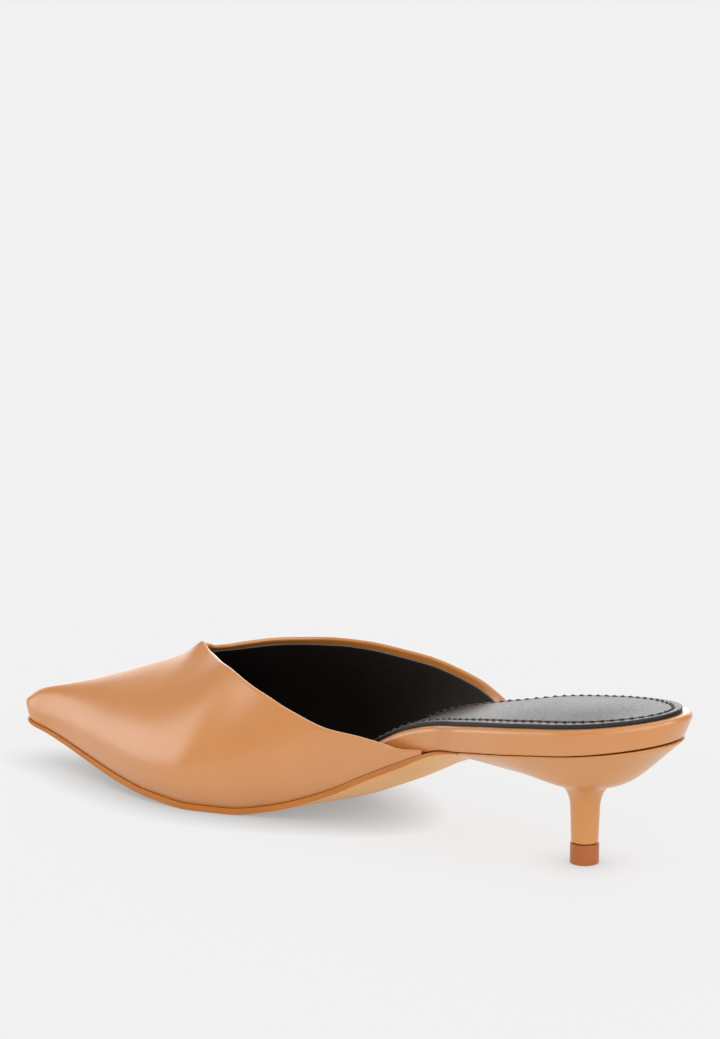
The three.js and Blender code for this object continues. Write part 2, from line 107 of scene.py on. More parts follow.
SOLE = [  # shares of the sole's edge, of its crown and of the footbed's growth towards the seat
    (0.0, 0.2, 0.73, 1), (0.22, 0.2, 0.73, 1), (0.297, 0.2, 0.73, 0.94),
    (0.337, 0.38, 0.91, 0.89), (0.374, 0.8, 1.0, 1.06), (0.407, 1, 0.98, 1.22),
    (0.458, 1, 0.88, 0.98), (0.503, 1, 0.58, 0.55), (0.548, 1, 0.29, 0.2), (0.598, 1, 0, 0),
    (0.8, 1, 0, 0), (0.92, 0.8, 0, 0), (1.0, 0.55, 0, 0),
]
PAD = [  # swell of the sock's pad
    (0.0, 0), (0.02, 0), (0.075, 0.5), (0.13, 1), (0.2, 1), (0.28, 0.5), (0.36, 0), (1.0, 0),
]
RIDGE = [  # shares of the vamp's and the nose's height, sharpness of the crest, swell of the sides
    (0.29, 1.46, 0, 0, 0.5, 0.6), (0.407, 1.48, 0, 0.1, 0.75, 1.1),
    (0.498, 1.5, 0, 0.28, 0.95, 1.4), (0.588, 1.43, 0, 0.52, 1.05, 1.1),
    (0.66, 1.24, 0, 0.78, 0.85, 0.75), (0.713, 1.045, 0.03, 0.92, 0.65, 0.55),
    (0.745, 0.924, 0.08, 0.94, 0.52, 0.5), (0.765, 0.85, 0.13, 0.88, 0.46, 0.46),
    (0.79, 0.76, 0.18, 0.78, 0.4, 0.4), (0.842, 0.582, 0.3, 0.53, 0.3, 0.3),
    (0.9, 0.364, 0.5, 0.28, 0.22, 0.22), (0.95, 0.168, 0.76, 0.11, 0.15, 0.15),
    (0.98, 0.06, 0.88, 0.04, 0.12, 0.12), (1.0, 0, 0.82, 0, 0.1, 0.1),
]
INNER_TOPLINE = [
    (0.352, 0), (0.368, 0.028), (0.391, 0.077), (0.412, 0.16), (0.455, 0.32), (0.501, 0.481),
    (0.545, 0.66), (0.591, 0.823), (0.635, 0.93), (0.672, 0.973), (0.705, 0.98), (0.725, 0.967),
    (V_POINT, 0.945),
]
OUTER_TOPLINE = [
    (0.292, 0), (0.344, 0.225), (0.375, 0.373), (0.407, 0.512), (0.457, 0.703), (0.515, 0.895),
    (0.55, 0.981), (0.584, 1.033), (0.627, 1.067), (0.668, 1.058), (0.695, 1.036), (0.72, 0.99),
    (0.737, 0.942), (V_POINT, 0.945),
]
CUP = [(0.0, 0), (0.1, 0.04), (0.25, 0.14), (0.5, 0.4), (0.75, 0.7), (1.0, 1)]

# Details that only the scene has, in millimetres
ROLL = 0.75  # radius of the folded topline
BAND = 1.9  # width of the leather folded to the inside
BAND_OVERLAP = 0.4  # how far the folded leather runs on under the lining
TUCK = 0.22  # rounding of the upper's lower edge
TUCK_RETURN = 0.6  # flat beside that rounding
LINING_RIM = [  # the lining's cut edge: how far past the band, and how deep under the skin
    (0, 1.46), (0, 1.62), (0.06, 1.74), (0.2, WALL),
]
LINING_END = 0.3  # how far the lining stops short of the nose
LINING_FOOT = 0.985  # how far down the sides it goes, where 1 is the feather line
FOOTBED_LOW = 0.35  # rounding of the footbed's lower edge
HIDDEN_FRONT = 20  # length of the sock, at its front end, beside which the footbed is dark
SOCK_EDGE = 0.45  # rounding of the sock's top edge
SOCK_LIFT = 0.06  # how far the sock's underside stays off the footbed
SOCK_TURN = 0.4  # how far its underside starts inside its edge
STITCH_INSET = 3.1
STITCH_PITCH = 3.3
STITCH_SHARE = 0.86  # share of the pitch that a stitch fills
STITCH_DEPTH = 0.3  # how far the stitches' line lies below the sock's surface
STITCHES_TO = 165  # ahead of here the upper hides the stitched edge
THREAD = 0.27  # radius of one strand of the thread
FURROW = 1.4  # how far the furrow in which the stitches lie reaches to each side
FURROW_DEPTH = 0.34
FURROW_WIDTH = 0.5
SOLE_EDGE_ROUND = 0.3
HEEL_EDGE_ROUND = 0.2
STEM_EDGE_ROUND = 0.25
TIP_FOOT_ROUND = 0.4
TIP_HEAD_ROUND = 0.3
TIP_FLAT = 2  # radius of the ring inside the tip's flat ends

# Fineness: distances between the points along each outline
FOOTBED_STEP = 1.3
SOCK_STEP = 0.9
SOLE_STEP = 1.2
HEEL_STEP = 0.9

# How far the spine that a board draws in to stays from the board's back and front
FOOTBED_SPINE = (22, 12)
SOCK_SPINE = (24, 14)
SOLE_SPINE = (14, 12)

# How far a table's curve is rounded at its rows, as shares of the length
ROUNDED = 0.006
ROUNDED_MORE = 0.012
ROUNDED_CUP = 0.03


def curve(rows, column, smoothing=ROUNDED):
    """A smooth function through one column of a table, rounded a little at its rows"""
    x = np.array([row[0] for row in rows])
    y = np.array([row[column] for row in rows])
    slope = np.diff(y) / np.diff(x)
    tangent = np.concatenate([[slope[0]], np.zeros(len(x) - 2), [slope[-1]]])
    rising = slope[:-1] * slope[1:] > 0
    a, b = slope[:-1][rising], slope[1:][rising]
    tangent[1:-1][rising] = 2 * a * b / (a + b)
    t = np.linspace(x[0], x[-1], 1600)
    i = np.clip(np.searchsorted(x, t, side="right") - 1, 0, len(slope) - 1)
    run = x[i + 1] - x[i]
    s = (t - x[i]) / run
    level = y[i] * (1 + 2 * s) * (1 - s) ** 2 + y[i + 1] * s**2 * (3 - 2 * s)
    level = level + run * s * (1 - s) * (tangent[i] * (1 - s) - tangent[i + 1] * s)
    width = smoothing / (t[1] - t[0])
    reach = int(3 * width)
    kernel = np.exp(-0.5 * (np.arange(-reach, reach + 1) / width) ** 2)
    padded = np.pad(level, reach, mode="reflect", reflect_type="odd")
    level = np.convolve(padded, kernel / kernel.sum(), mode="valid")
    return lambda at: np.interp(at, t, level)


def share(x):
    return (np.asarray(x, float) - BACK) / SHOE_LENGTH


def mix(first, second, t):
    return first * (1 - t) + second * t


def fade(x, low, high):
    t = np.clip((np.asarray(x, float) - low) / (high - low), 0, 1)
    return t * t * (3 - 2 * t)


def closing(distance, length):
    """Share of the full width left near a closed end"""
    return np.sqrt(np.clip(1 - np.clip(1 - distance / length, 0, 1) ** 2, 0, 1))


inner_width, outer_width = curve(OUTLINE, 1), curve(OUTLINE, 2)
seat_rise, toe_rise = curve(BOARD, 1), curve(BOARD, 2)
sole_edge, sole_crown, board_share = curve(SOLE, 1), curve(SOLE, 2), curve(SOLE, 3)
pad_swell = curve(PAD, 1, ROUNDED_MORE)
ridge_vamp, ridge_nose = curve(RIDGE, 1), curve(RIDGE, 2)
ridge_crest = curve(RIDGE, 3, ROUNDED_MORE)
inner_lean, outer_lean = curve(RIDGE, 4, ROUNDED_MORE), curve(RIDGE, 5, ROUNDED_MORE)
inner_rise, outer_rise = curve(INNER_TOPLINE, 1), curve(OUTER_TOPLINE, 1)
cup_up = curve(CUP, 1, ROUNDED_CUP)


def width_at(x, side):
    return np.where(side > 0, inner_width(share(x)), outer_width(share(x)))


def board_line(x):
    s = share(x)
    return SOLE_EDGE + (SEAT_HEIGHT - SOLE_EDGE) * seat_rise(s) + TOE_SPRING * toe_rise(s)


def feather(x):
    return board_line(x) + GAP


def centre_line(x):
    swing = np.clip((share(x) - SWING_START) / (1 - SWING_START), 0, None)
    return TOE_SWING * swing**2


def underside(x, across):
    crown = SOLE_CROWN * sole_crown(share(x)) * (1 - across**2)
    return board_line(x) - SOLE_EDGE * sole_edge(share(x)) - crown


def breast_bow(x):
    return BREAST_BOW * (1 - fade(np.abs(share(x) - BREAST / SHOE_LENGTH), 0, BOW_REACH))


def seat_place(x):
    return np.maximum(x, x * (1 + SEAT_UNDERCUT / BACK))


def wing_inset(x, side):
    wing = np.where(side > 0, INNER_TOPLINE[0][0], OUTER_TOPLINE[0][0])
    t = np.clip((share(x) - (wing - WING_RAMP)) / (WING_RAMP - GAP / SHOE_LENGTH), 0, 1)
    return (WALL + GAP) * t * t * (3 - 2 * t)


def footbed_top(x):
    return feather(x) + FOREFOOT_BOARD + (FOOTBED - FOREFOOT_BOARD) * board_share(share(x))


# Meshes: rows of points, joined row to row
def new_object(name, verts, faces, materials, slots=None, weld=1e-6):
    """An object whose mesh is in the row's frame, in metres, welded and smooth"""
    mesh = bpy.data.meshes.new(name)
    mesh.from_pydata((np.asarray(verts) * 0.001).tolist(), [], faces)
    for material in materials:
        mesh.materials.append(material)
    if slots is not None:
        mesh.polygons.foreach_set("material_index", slots)
    made = bpy.data.objects.new(name, mesh)
    bpy.context.scene.collection.objects.link(made)
    work = bmesh.new()
    work.from_mesh(mesh)
    bmesh.ops.remove_doubles(work, verts=work.verts, dist=weld)
    bmesh.ops.dissolve_degenerate(work, dist=weld, edges=work.edges)
    bmesh.ops.recalc_face_normals(work, faces=work.faces)
    work.to_mesh(mesh)
    work.free()
    mesh.polygons.foreach_set("use_smooth", [True] * len(mesh.polygons))
    mesh.update()
    return made


def grid_faces(rows, columns, start=0, closed=False):
    faces = []
    for i in range(rows - 1):
        for k in range(columns if closed else columns - 1):
            n = (k + 1) % columns
            a, b = start + i * columns, start + (i + 1) * columns
            faces.append((a + k, a + n, b + n, b + k))
    return faces


def finish_piece(made, node):
    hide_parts(node)
    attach(made, "root")


# Boards: rings that run round a plan outline and draw in towards a spine
def resample(points, step):
    """Points at even distances along a closed line"""
    loop = np.vstack([points, points[:1]])
    length = np.concatenate([[0], np.cumsum(np.hypot(*np.diff(loop, axis=0).T))])
    at = np.linspace(0, length[-1], int(round(length[-1] / step)) + 1)[:-1]
    return np.column_stack([np.interp(at, length, loop[:, i]) for i in range(2)])


def plan_outline(back, front, seat_round, front_round, inset, step, cut=False):
    """The outline seen from above, closed at its ends or cut along the heel's front face"""
    turn = np.linspace(0, math.pi / 2, 160)
    first = back + (0 if cut else seat_round) * (1 - np.cos(turn))
    last = front - front_round * (1 - np.cos(turn[::-1]))
    x = np.concatenate([first, np.linspace(back + seat_round, front - front_round, 500)[1:-1], last])
    ends = closing(front - x, front_round) * (1 if cut else closing(x - back, seat_round))
    inner = centre_line(x) + (width_at(x, 1) - inset(x, 1)) * ends
    outer = centre_line(x) - (width_at(x, -1) - inset(x, -1)) * ends
    loop = np.vstack([np.column_stack([x, inner]), np.column_stack([x, outer])[::-1]])
    if cut:
        q = np.linspace(-1, 1, 60)[1:-1]
        edge = np.where(q > 0, inner[0], -outer[0])
        face = np.column_stack([back + breast_bow(back) * (1 - q**2), q * edge])
        loop = np.vstack([loop, face])
    return resample(loop, step)


def rings(path, spine_from, spine_to, layers):
    """One row of points for each layer (inset, share, height, shift)"""
    x = np.clip(path[:, 0], spine_from, spine_to)
    spine = np.column_stack([x, centre_line(x)])
    away = path - spine
    reach = np.maximum(np.hypot(*away.T), 1e-9)
    rows = []
    for inset, part, height, shift in layers:
        left = np.clip(1 - inset / reach, 0, 1) * (1 - part)
        p = spine + away * left[:, None]
        z = height(p[:, 0], p[:, 1], left)
        rows.append(np.column_stack([shift(p[:, 0]), p[:, 1], z]))
    return np.array(rows)


def stay(x):
    return x


def quarter(radius, steps):
    """(inset, drop) pairs round a rounded edge, from the flat to the side"""
    return [
        (radius * (1 - math.sin(a)), radius * (1 - math.cos(a)))
        for a in np.linspace(0, math.pi / 2, steps + 1)
    ]


def build_footbed(material, inside):
    path = plan_outline(BACK, TOE - WALL - GAP, SEAT_ROUND, TOE_ROUND, wing_inset, FOOTBED_STEP)
    layers = []
    for part in (1.0, 0.8, 0.6, 0.4, 0.2, 0.08):
        layers.append((FOOTBED_EDGE, part, lambda x, y, q: footbed_top(x), stay))
    for inset, drop in quarter(FOOTBED_EDGE, 7):
        layers.append((inset, 0, lambda x, y, q, d=drop: footbed_top(x) - d, stay))
    for t in np.linspace(0, 1, 9)[1:]:

        def wall(x, y, q, t=t):
            return mix(footbed_top(x) - FOOTBED_EDGE, feather(x) + FOOTBED_LOW, t)

        layers.append((0, 0, wall, lambda x, t=t: mix(x, seat_place(x), t)))
    for inset, drop in quarter(FOOTBED_LOW, 3)[::-1][1:]:
        layers.append((inset, 0, lambda x, y, q, d=drop: feather(x) + d, seat_place))
    for part in (0.1, 0.4, 0.7, 1.0):
        layers.append((FOOTBED_LOW, part, lambda x, y, q: feather(x), seat_place))
    rows = rings(path, BACK + FOOTBED_SPINE[0], TOE - FOOTBED_SPINE[1], layers)
    points = rows.reshape(-1, 3)
    faces = grid_faces(len(rows), rows.shape[1], closed=True)
    dark_from = TOE - SOCK_END - HIDDEN_FRONT
    slots = [1 if points[face[0]][0] > dark_from else 0 for face in faces]
    made = new_object("footbed_wrap", points, faces, [material, inside], slots)
    finish_piece(made, "footbed")


def sock_top(x, q):
    pad = HEEL_PAD * pad_swell(share(x)) * (1 - np.clip(q, 0, 1) ** 2) ** PAD_POWER
    return footbed_top(x) + GAP + SOCK + pad


def sock_rings(layers):
    """Rows of points for the layers of the sock, or of what follows its edge"""

    def drawn(x, side):
        return SOCK_INSET + wing_inset(x, side)

    back, front = BACK + SOCK_SETBACK, TOE - SOCK_END
    path = plan_outline(back, front, SEAT_ROUND - SOCK_INSET, SOCK_ROUND, drawn, SOCK_STEP)
    return rings(path, BACK + SOCK_SPINE[0], front - SOCK_SPINE[1], layers)


def build_sock(leather, edge_material):
    layers = []
    for part in (1.0, 0.9, 0.8, 0.7, 0.6, 0.5, 0.4, 0.3, 0.2, 0.1, 0.04):
        layers.append((STITCH_INSET + FURROW, part, lambda x, y, q: sock_top(x, q), stay))
    for inset in (FURROW, 1.0, 0.7, 0.45, 0.2, 0, -0.2, -0.45, -0.7, -1.0, -FURROW):
        dent = FURROW_DEPTH * math.exp(-((inset / FURROW_WIDTH) ** 2))
        layers.append((STITCH_INSET + inset, 0, lambda x, y, q, d=dent: sock_top(x, q) - d, stay))
    for inset, drop in quarter(SOCK_EDGE, 4):
        layers.append((inset, 0, lambda x, y, q, d=drop: sock_top(x, 1) - d, stay))
    rim_from = len(layers) - 2
    for t in (0.4, 0.8, 1.0):

        def wall(x, y, q, t=t):
            return mix(sock_top(x, 1) - SOCK_EDGE, footbed_top(x) + SOCK_LIFT, t)

        layers.append((0, 0, wall, stay))
    for part in (0.1, 0.5, 1.0):
        layers.append((SOCK_TURN, part, lambda x, y, q: footbed_top(x) + SOCK_LIFT, stay))
    rows = sock_rings(layers)
    n = rows.shape[1]
    faces = grid_faces(len(rows), n, closed=True)
    slots = [1 if i // n >= rim_from else 0 for i in range(len(faces))]
    made = new_object("sock_leather", rows.reshape(-1, 3), faces, [leather, edge_material], slots)
    finish_piece(made, "sock")


def build_stitches(material):
    """Lock stitches round the sock: two strands twisted round each other, dipping at their ends"""
    layer = (STITCH_INSET, 0, lambda x, y, q: sock_top(x, q) - STITCH_DEPTH, stay)
    line = sock_rings([layer])[0]
    line = line[line[:, 0] < STITCHES_TO]
    gap_at = int(np.argmax(np.hypot(*np.diff(line[:, :2], axis=0).T)))
    line = np.roll(line, -(gap_at + 1), axis=0)
    length = np.concatenate([[0], np.cumsum(np.linalg.norm(np.diff(line, axis=0), axis=1))])
    count = int(length[-1] / STITCH_PITCH)
    along, around = 11, 6  # points along a strand and round it
    twist, wobble, wobble_pace = 1.6, 0.35, 2.4  # half turns in a stitch, and how they vary
    apart, rise, sink = 0.21, 0.5, 0.12  # strand from the stitch's middle, arch and buried ends
    lean, blunt = 0.55, 0.6  # slant of a stitch across its line, and fullness of its arch
    thin = 0.55  # share of the strand's thickness at its ends
    verts, faces = [], []
    s = np.linspace(0, 1, along)
    for i in range(count):
        at = (i + 0.5) * STITCH_PITCH + (s - 0.5) * STITCH_PITCH * STITCH_SHARE
        centre = np.column_stack([np.interp(at, length, line[:, k]) for k in range(3)])
        tangent = np.gradient(centre, axis=0)
        tangent /= np.linalg.norm(tangent, axis=1)[:, None]
        side = np.cross(tangent, [0, 0, 1])
        side /= np.linalg.norm(side, axis=1)[:, None]
        up = np.cross(side, tangent)
        arch = np.sin(math.pi * s) ** blunt
        skew = (s - 0.5) * lean
        for strand in (0, 1):
            turn = math.pi * (strand + twist * s) + wobble * math.sin(wobble_pace * i)
            offset = apart * arch
            middle = centre + side * (skew + offset * np.cos(turn))[:, None]
            middle = middle + up * (rise * arch - sink + offset * np.sin(turn))[:, None]
            radius = THREAD * (thin + (1 - thin) * arch)
            first = len(verts)
            for k in range(along):
                for a in np.arange(around) * 2 * math.pi / around:
                    out = math.cos(a) * side[k] + math.sin(a) * up[k]
                    verts.append(middle[k] + radius[k] * out)
            faces.extend(grid_faces(along, around, first, closed=True))
            faces.append(tuple(range(first, first + around))[::-1])
            faces.append(tuple(range(first + (along - 1) * around, first + along * around)))
    made = new_object("sock_stitches", verts, faces, [material], weld=1e-9)
    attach(made, "root")


def build_outsole(edge_material, under_material):
    back, front = BACK + BREAST + GAP, TOE + SOLE_PROUD

    def proud(x, side):
        return -SOLE_PROUD * fade(share(x), PROUD_FROM, PROUD_TO)

    path = plan_outline(back, front, 0, TOE_ROUND, proud, SOLE_STEP, cut=True)

    def under(x, y, q):
        side = np.sign(y - centre_line(x))
        across = np.clip(np.abs(y - centre_line(x)) / (width_at(x, side) - proud(x, side)), 0, 1)
        return underside(x, across)

    layers = []
    for part in (1.0, 0.6, 0.2):
        layers.append((SOLE_EDGE_ROUND, part, lambda x, y, q: board_line(x), stay))
    for inset, drop in quarter(SOLE_EDGE_ROUND, 3):
        layers.append((inset, 0, lambda x, y, q, d=drop: board_line(x) - d, stay))
    for t in (0.25, 0.5, 0.75, 1.0):

        def wall(x, y, q, t=t):
            return mix(board_line(x) - SOLE_EDGE_ROUND, under(x, y, q) + SOLE_EDGE_ROUND, t)

        layers.append((0, 0, wall, stay))
    edge_to = len(layers) + 1
    for inset, drop in quarter(SOLE_EDGE_ROUND, 3)[::-1][1:]:
        layers.append((inset, 0, lambda x, y, q, d=drop: under(x, y, q) + d, stay))
    for part in (0.03, 0.08, 0.15, 0.25, 0.35, 0.45, 0.55, 0.65, 0.75, 0.85, 0.93, 1.0):
        layers.append((SOLE_EDGE_ROUND, part, under, stay))
    rows = rings(path, back + SOLE_SPINE[0], TOE - SOLE_SPINE[1], layers)
    n = rows.shape[1]
    faces = grid_faces(len(rows), n, closed=True)
    slots = [0 if i // n < edge_to else 1 for i in range(len(faces))]
    materials = [edge_material, under_material]
    made = new_object("outsole_leather", rows.reshape(-1, 3), faces, materials, slots)
    finish_piece(made, "outsole")


def build_heel(material):
    back, front = BACK, BACK + BREAST
    turn = np.linspace(0, math.pi / 2, 200)
    round_end = back + SEAT_ROUND * (1 - np.cos(turn))
    x = np.concatenate([round_end, np.linspace(back + SEAT_ROUND, front, 200)[1:]])
    half = closing(x - back, SEAT_ROUND)
    inner = np.column_stack([x, width_at(x, 1) * half])
    outer = np.column_stack([x, -width_at(x, -1) * half])
    q = np.linspace(1, -1, 90)[1:-1]
    edge = np.where(q > 0, inner[-1, 1], -outer[-1, 1])
    face = np.column_stack([front + breast_bow(front) * (1 - q**2), q * edge])
    path = resample(np.vstack([inner, face, outer[::-1]]), HEEL_STEP)
    on_face = path[:, 0] > front - 1e-6
    side = np.sign(path[:, 1])
    across = np.where(on_face, np.abs(path[:, 1]) / np.where(side > 0, edge[0], edge[-1]), 1)
    rim = np.column_stack([seat_place(path[:, 0]), path[:, 1]])
    reach = np.hypot(*rim.T)
    out = rim / reach[:, None]
    rows = []

    def ring(radius, z):
        radii = np.broadcast_to(radius, reach.shape)
        heights = np.broadcast_to(z, reach.shape)
        rows.append(np.column_stack([out * radii[:, None], heights]))

    top, low = board_line(rim[:, 0]), underside(rim[:, 0], across)
    for part in (0.0, 0.5, 0.9):
        ring(reach * part, board_line(rim[:, 0] * part))
    for inset, drop in quarter(HEEL_EDGE_ROUND, 3):
        ring(reach - inset, top - drop)
    for t in (0.5, 1.0):
        ring(reach, mix(top - HEEL_EDGE_ROUND, low, t))
    neck = STEM_TOP / 2 + FILLET_REACH
    for part in np.linspace(1, 0, 49)[1:]:
        ring(neck + (reach - neck) * part, NECK_HEIGHT + (low - NECK_HEIGHT) * cup_up(part))
    for a in np.linspace(0, math.pi / 2, 19)[1:]:
        ring(neck - FILLET_REACH * math.sin(a), NECK_HEIGHT - FILLET_DROP * (1 - math.cos(a)))
    base = TIP_HEIGHT + GAP
    for t in np.linspace(0, 1, 8)[1:]:
        z = mix(NECK_HEIGHT - FILLET_DROP, base + STEM_EDGE_ROUND, t)
        ring(mix(STEM_TOP, STEM_BOTTOM, t) / 2, z)
    for inset, drop in quarter(STEM_EDGE_ROUND, 3)[::-1][1:]:
        ring(STEM_BOTTOM / 2 - inset, base + drop)
    ring(STEM_BOTTOM / 4, base)
    ring(0, base)
    rows = np.array(rows)
    faces = grid_faces(len(rows), rows.shape[1], closed=True)
    made = new_object("heel_cup_and_stem", rows.reshape(-1, 3), faces, [material])
    finish_piece(made, "heel")


def build_tip(material):
    radius, around = TIP_WIDTH / 2, 96
    turn = np.linspace(0, math.pi / 2, 6)
    foot, head = TIP_FOOT_ROUND, TIP_HEAD_ROUND
    profile = [(0, 0), (TIP_FLAT, 0), (radius - 0.5, 0)]
    for a in turn:
        profile.append((radius - foot + foot * math.sin(a), foot - foot * math.cos(a)))
    for z in (1.5, 3, 4.5, 6):
        profile.append((radius, z))
    for a in turn:
        profile.append((radius - head + head * math.cos(a), TIP_HEIGHT - head + head * math.sin(a)))
    profile += [(TIP_FLAT, TIP_HEIGHT), (0, TIP_HEIGHT)]
    angle = np.linspace(0, 2 * math.pi, around, endpoint=False)
    rows = []
    for r, z in profile:
        rows.append(np.column_stack([r * np.cos(angle), r * np.sin(angle), np.full(around, z)]))
    verts = np.array(rows).reshape(-1, 3)
    faces = grid_faces(len(rows), around, closed=True)
    made = new_object("heel_tip_piece", verts, faces, [material])
    finish_piece(made, "heel_tip")


# Upper: the skin of the last, folded over along the topline
def turn_at(u):
    return (math.pi / 2) * np.clip(1 - np.abs(u), 0, 1) ** NEAR_FEATHER


def plain_height(x, u):
    """Height above the feather line without the drawn-up point of the V"""
    ridge = VAMP_HEIGHT * ridge_vamp(share(x)) + NOSE_HEIGHT * ridge_nose(share(x))
    return ridge * np.sin(turn_at(u)) ** SIDE_FULLNESS


def skin_height(x, u):
    peak = PEAK_HEIGHT * np.exp(-(((share(x) - V_POINT) * SHOE_LENGTH / PEAK_REACH) ** 2))
    return plain_height(x, u) + peak * np.sin(turn_at(u)) ** PEAK_POWER


def skin(x, u):
    """Point of the skin: u is 1 on the inner feather line, 0 on the ridge, -1 on the outer one"""
    x, u = np.broadcast_arrays(np.asarray(x, float), np.asarray(u, float))
    side = np.where(u < 0, -1.0, 1.0)
    turn = turn_at(u)
    rise = np.sin(turn) ** SIDE_FULLNESS
    belly = (rise / WIDEST_AT) * np.exp(1 - rise / WIDEST_AT)
    lean = WALL_LEAN * np.where(side > 0, inner_lean(share(x)), outer_lean(share(x)))
    narrowed = np.clip(np.cos(turn), 0, 1) ** (1 + CREST * ridge_crest(share(x)))
    tip = nose_tip(u)
    reach = (width_at(x, side) + lean * belly) * narrowed * closing(tip - x, TOE_ROUND)
    return np.stack([x, centre_line(x) + side * reach, feather(x) + skin_height(x, u)], axis=-1)


def nose_tip(u):
    turn = turn_at(u)
    return TOE + NOSE_BULGE * np.sin(2 * turn) - NOSE_ROUND * np.sin(turn) ** 4


def unit(v):
    return v / np.maximum(np.linalg.norm(v, axis=-1, keepdims=True), 1e-9)


def skin_normal(x, u):
    du, dx = 0.006, 0.3
    low, high = np.clip(u - du, -1, 1), np.clip(u + du, -1, 1)
    across = skin(x, high) - skin(x, low)
    along = skin(x + dx, u) - skin(x - dx, u)
    return unit(np.cross(along, across))


def topline(u):
    """Where the topline crosses each column of the skin, found by halving"""
    wing = np.where(u < 0, OUTER_TOPLINE[0][0], INNER_TOPLINE[0][0])
    behind = BACK + wing * SHOE_LENGTH
    ahead = np.full_like(behind, BACK + V_POINT * SHOE_LENGTH)
    for _ in range(40):
        x = (behind + ahead) / 2
        rise = np.where(u < 0, outer_rise(share(x)), inner_rise(share(x)))
        above = plain_height(x, u) > VAMP_HEIGHT * rise
        behind, ahead = np.where(above, x, behind), np.where(above, ahead, x)
    at_feather = np.abs(u) >= 1
    return np.where(at_feather, BACK + wing * SHOE_LENGTH, (behind + ahead) / 2)


def edge_frame(x, u):
    """Normal, outward direction and slant of the topline edge in each column"""
    step, least_slant = 0.3, 0.3
    point = skin(x, u)
    along_edge = unit(np.gradient(point, axis=0))
    normal = skin_normal(x, u)
    outward = unit(np.cross(along_edge, normal))
    column = unit(skin(x - step, u) - skin(x + step, u))
    slant = np.sum(outward * column, axis=-1, keepdims=True)
    outward = np.where(slant < 0, -outward, outward)
    return normal, outward, np.clip(np.abs(slant[:, 0]), least_slant, 1)


def build_upper(leather, fold):
    """The outer leather, from the nose back to the topline and folded over it to the inside"""
    u = np.linspace(1, -1, 161)
    x_top = topline(u)
    slant = edge_frame(x_top, u)[2]
    x_edge = x_top + ROLL / slant
    normal, outward, slant = edge_frame(x_edge, u)
    nose = nose_tip(u)
    rows = []
    for a in np.linspace(0, math.pi / 2, 13)[:-1]:
        rows.append(skin(nose - TOE_ROUND * (1 - math.cos(a)), u))
    first = nose - TOE_ROUND
    for t in np.linspace(0, 1, 121):
        rows.append(skin(first + (x_edge - first) * t, u))
    point = rows[-1]
    fold_from = len(rows) - 1
    for a in np.linspace(0, math.pi, 10)[1:]:
        rows.append(point + ROLL * ((math.cos(a) - 1) * normal + math.sin(a) * outward))
    for depth in (0.8, 1.6, BAND + BAND_OVERLAP):
        x = x_edge + depth / slant
        rows.append(skin(x, u) - 2 * ROLL * skin_normal(x, u))
    rows = np.array(rows)
    tucked = []
    for column, sign in ((0, 1), (-1, -1)):
        p = rows[:, column]
        inward, up = np.array([0, -sign, 0]), np.array([0, 0, 1])
        extra = []
        for a in np.linspace(0, math.pi / 2, 4)[1:]:
            extra.append(p + TUCK * ((1 - math.cos(a)) * inward - math.sin(a) * up))
        extra.append(extra[-1] + TUCK_RETURN * inward)
        tucked.append(extra)
    columns = tucked[0][::-1] + [rows[:, k] for k in range(rows.shape[1])] + tucked[1]
    sheet = np.stack(columns, axis=1)
    r, c = sheet.shape[:2]
    faces = grid_faces(r, c)
    slots = [1 if i // (c - 1) >= fold_from else 0 for i in range(len(faces))]
    made = new_object("upper_leather", sheet.reshape(-1, 3), faces, [leather, fold], slots)
    finish_piece(made, "upper")


def build_lining(lining, cut_edge_and_highlight):
    """The lining, from its cut edge under the folded band to the nose"""
    u = np.linspace(LINING_FOOT, -LINING_FOOT, 121)
    x_edge = topline(u) + ROLL / edge_frame(topline(u), u)[2]
    slant = edge_frame(x_edge, u)[2]
    rows = []
    for past, depth in LINING_RIM:
        x = x_edge + (BAND + past) / slant
        rows.append(skin(x, u) - depth * skin_normal(x, u))
    start, end = x, nose_tip(u) - LINING_END
    for t in np.linspace(0, 1, 71)[1:]:
        x = start + (end - start) * t
        rows.append(skin(x, u) - WALL * skin_normal(x, u))
    rows = np.array(rows)
    r, c = rows.shape[:2]
    faces = grid_faces(r, c)
    rim_faces = len(LINING_RIM) - 1
    # the rim faces get the grey cut edge, which is partly a painted highlight
    slots = [1 if i // (c - 1) < rim_faces else 0 for i in range(len(faces))]
    made = new_object("upper_lining", rows.reshape(-1, 3), faces, [lining, cut_edge_and_highlight], slots)
    finish_piece(made, "upper")


# Materials. Scales are waves or cells in a metre, depths are metres.
CLOUD_SCALE = 55  # slow change of colour and surface
CLOUD_DEPTH = 0.0006
CLOUD_STRENGTH = 0.06
FINE_SCALE = 900  # change of the roughness
PORE_SCALE = 1900  # cells of the leather's grain
PORE_DEPTH = 0.00004
PORE_CREASE = 0.35  # share of a cell that slopes down to its crease
COAT_IOR = 1.7
PAINT_CLOUD_SCALE = 70
PAINT_FINE_SCALE = 1400
PAINT_DEPTH = 0.00002
PAINT_STRENGTH = 0.12
PAINT_COAT_ROUGHNESS = 0.12
MIX_FIRST, MIX_SECOND, MIX_RESULT = 6, 7, 2  # sockets of a mix node for colours


def tree(name):
    material = bpy.data.materials.new(name)
    material.use_nodes = True
    nodes = material.node_tree.nodes
    return material, nodes, material.node_tree.links, nodes["Principled BSDF"]


def noise(nodes, links, scale, detail):
    coordinates = nodes.new("ShaderNodeTexCoord")
    made = nodes.new("ShaderNodeTexNoise")
    made.inputs["Scale"].default_value = scale
    made.inputs["Detail"].default_value = detail
    links.new(coordinates.outputs["Object"], made.inputs["Vector"])
    return made.outputs["Fac"]


